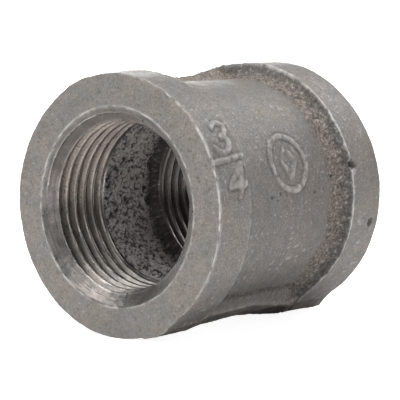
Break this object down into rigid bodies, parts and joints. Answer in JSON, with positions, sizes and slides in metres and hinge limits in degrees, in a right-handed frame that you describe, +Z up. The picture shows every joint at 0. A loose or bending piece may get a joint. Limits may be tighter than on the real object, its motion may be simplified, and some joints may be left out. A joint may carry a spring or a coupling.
{
  "type": "pipe coupling",
  "caption": "Straight banded malleable-iron pipe coupling with a female taper pipe thread at each end and two side ribs.",
  "frame": {"origin": "middle of the bore, half-way between the two end faces", "axes": "+Y along the bore from the front mouth to the rear mouth; +Z up as the coupling lies on its side"},
  "size_m": [0.037, 0.0386, 0.0376],
  "materials": {
    "cast_iron": "dark oiled casting, sand-grained, with machined faces and threads"
  },
  "bodies": {
    "root": {"coupling_body": "cast_iron"}
  },
  "joints": []
}
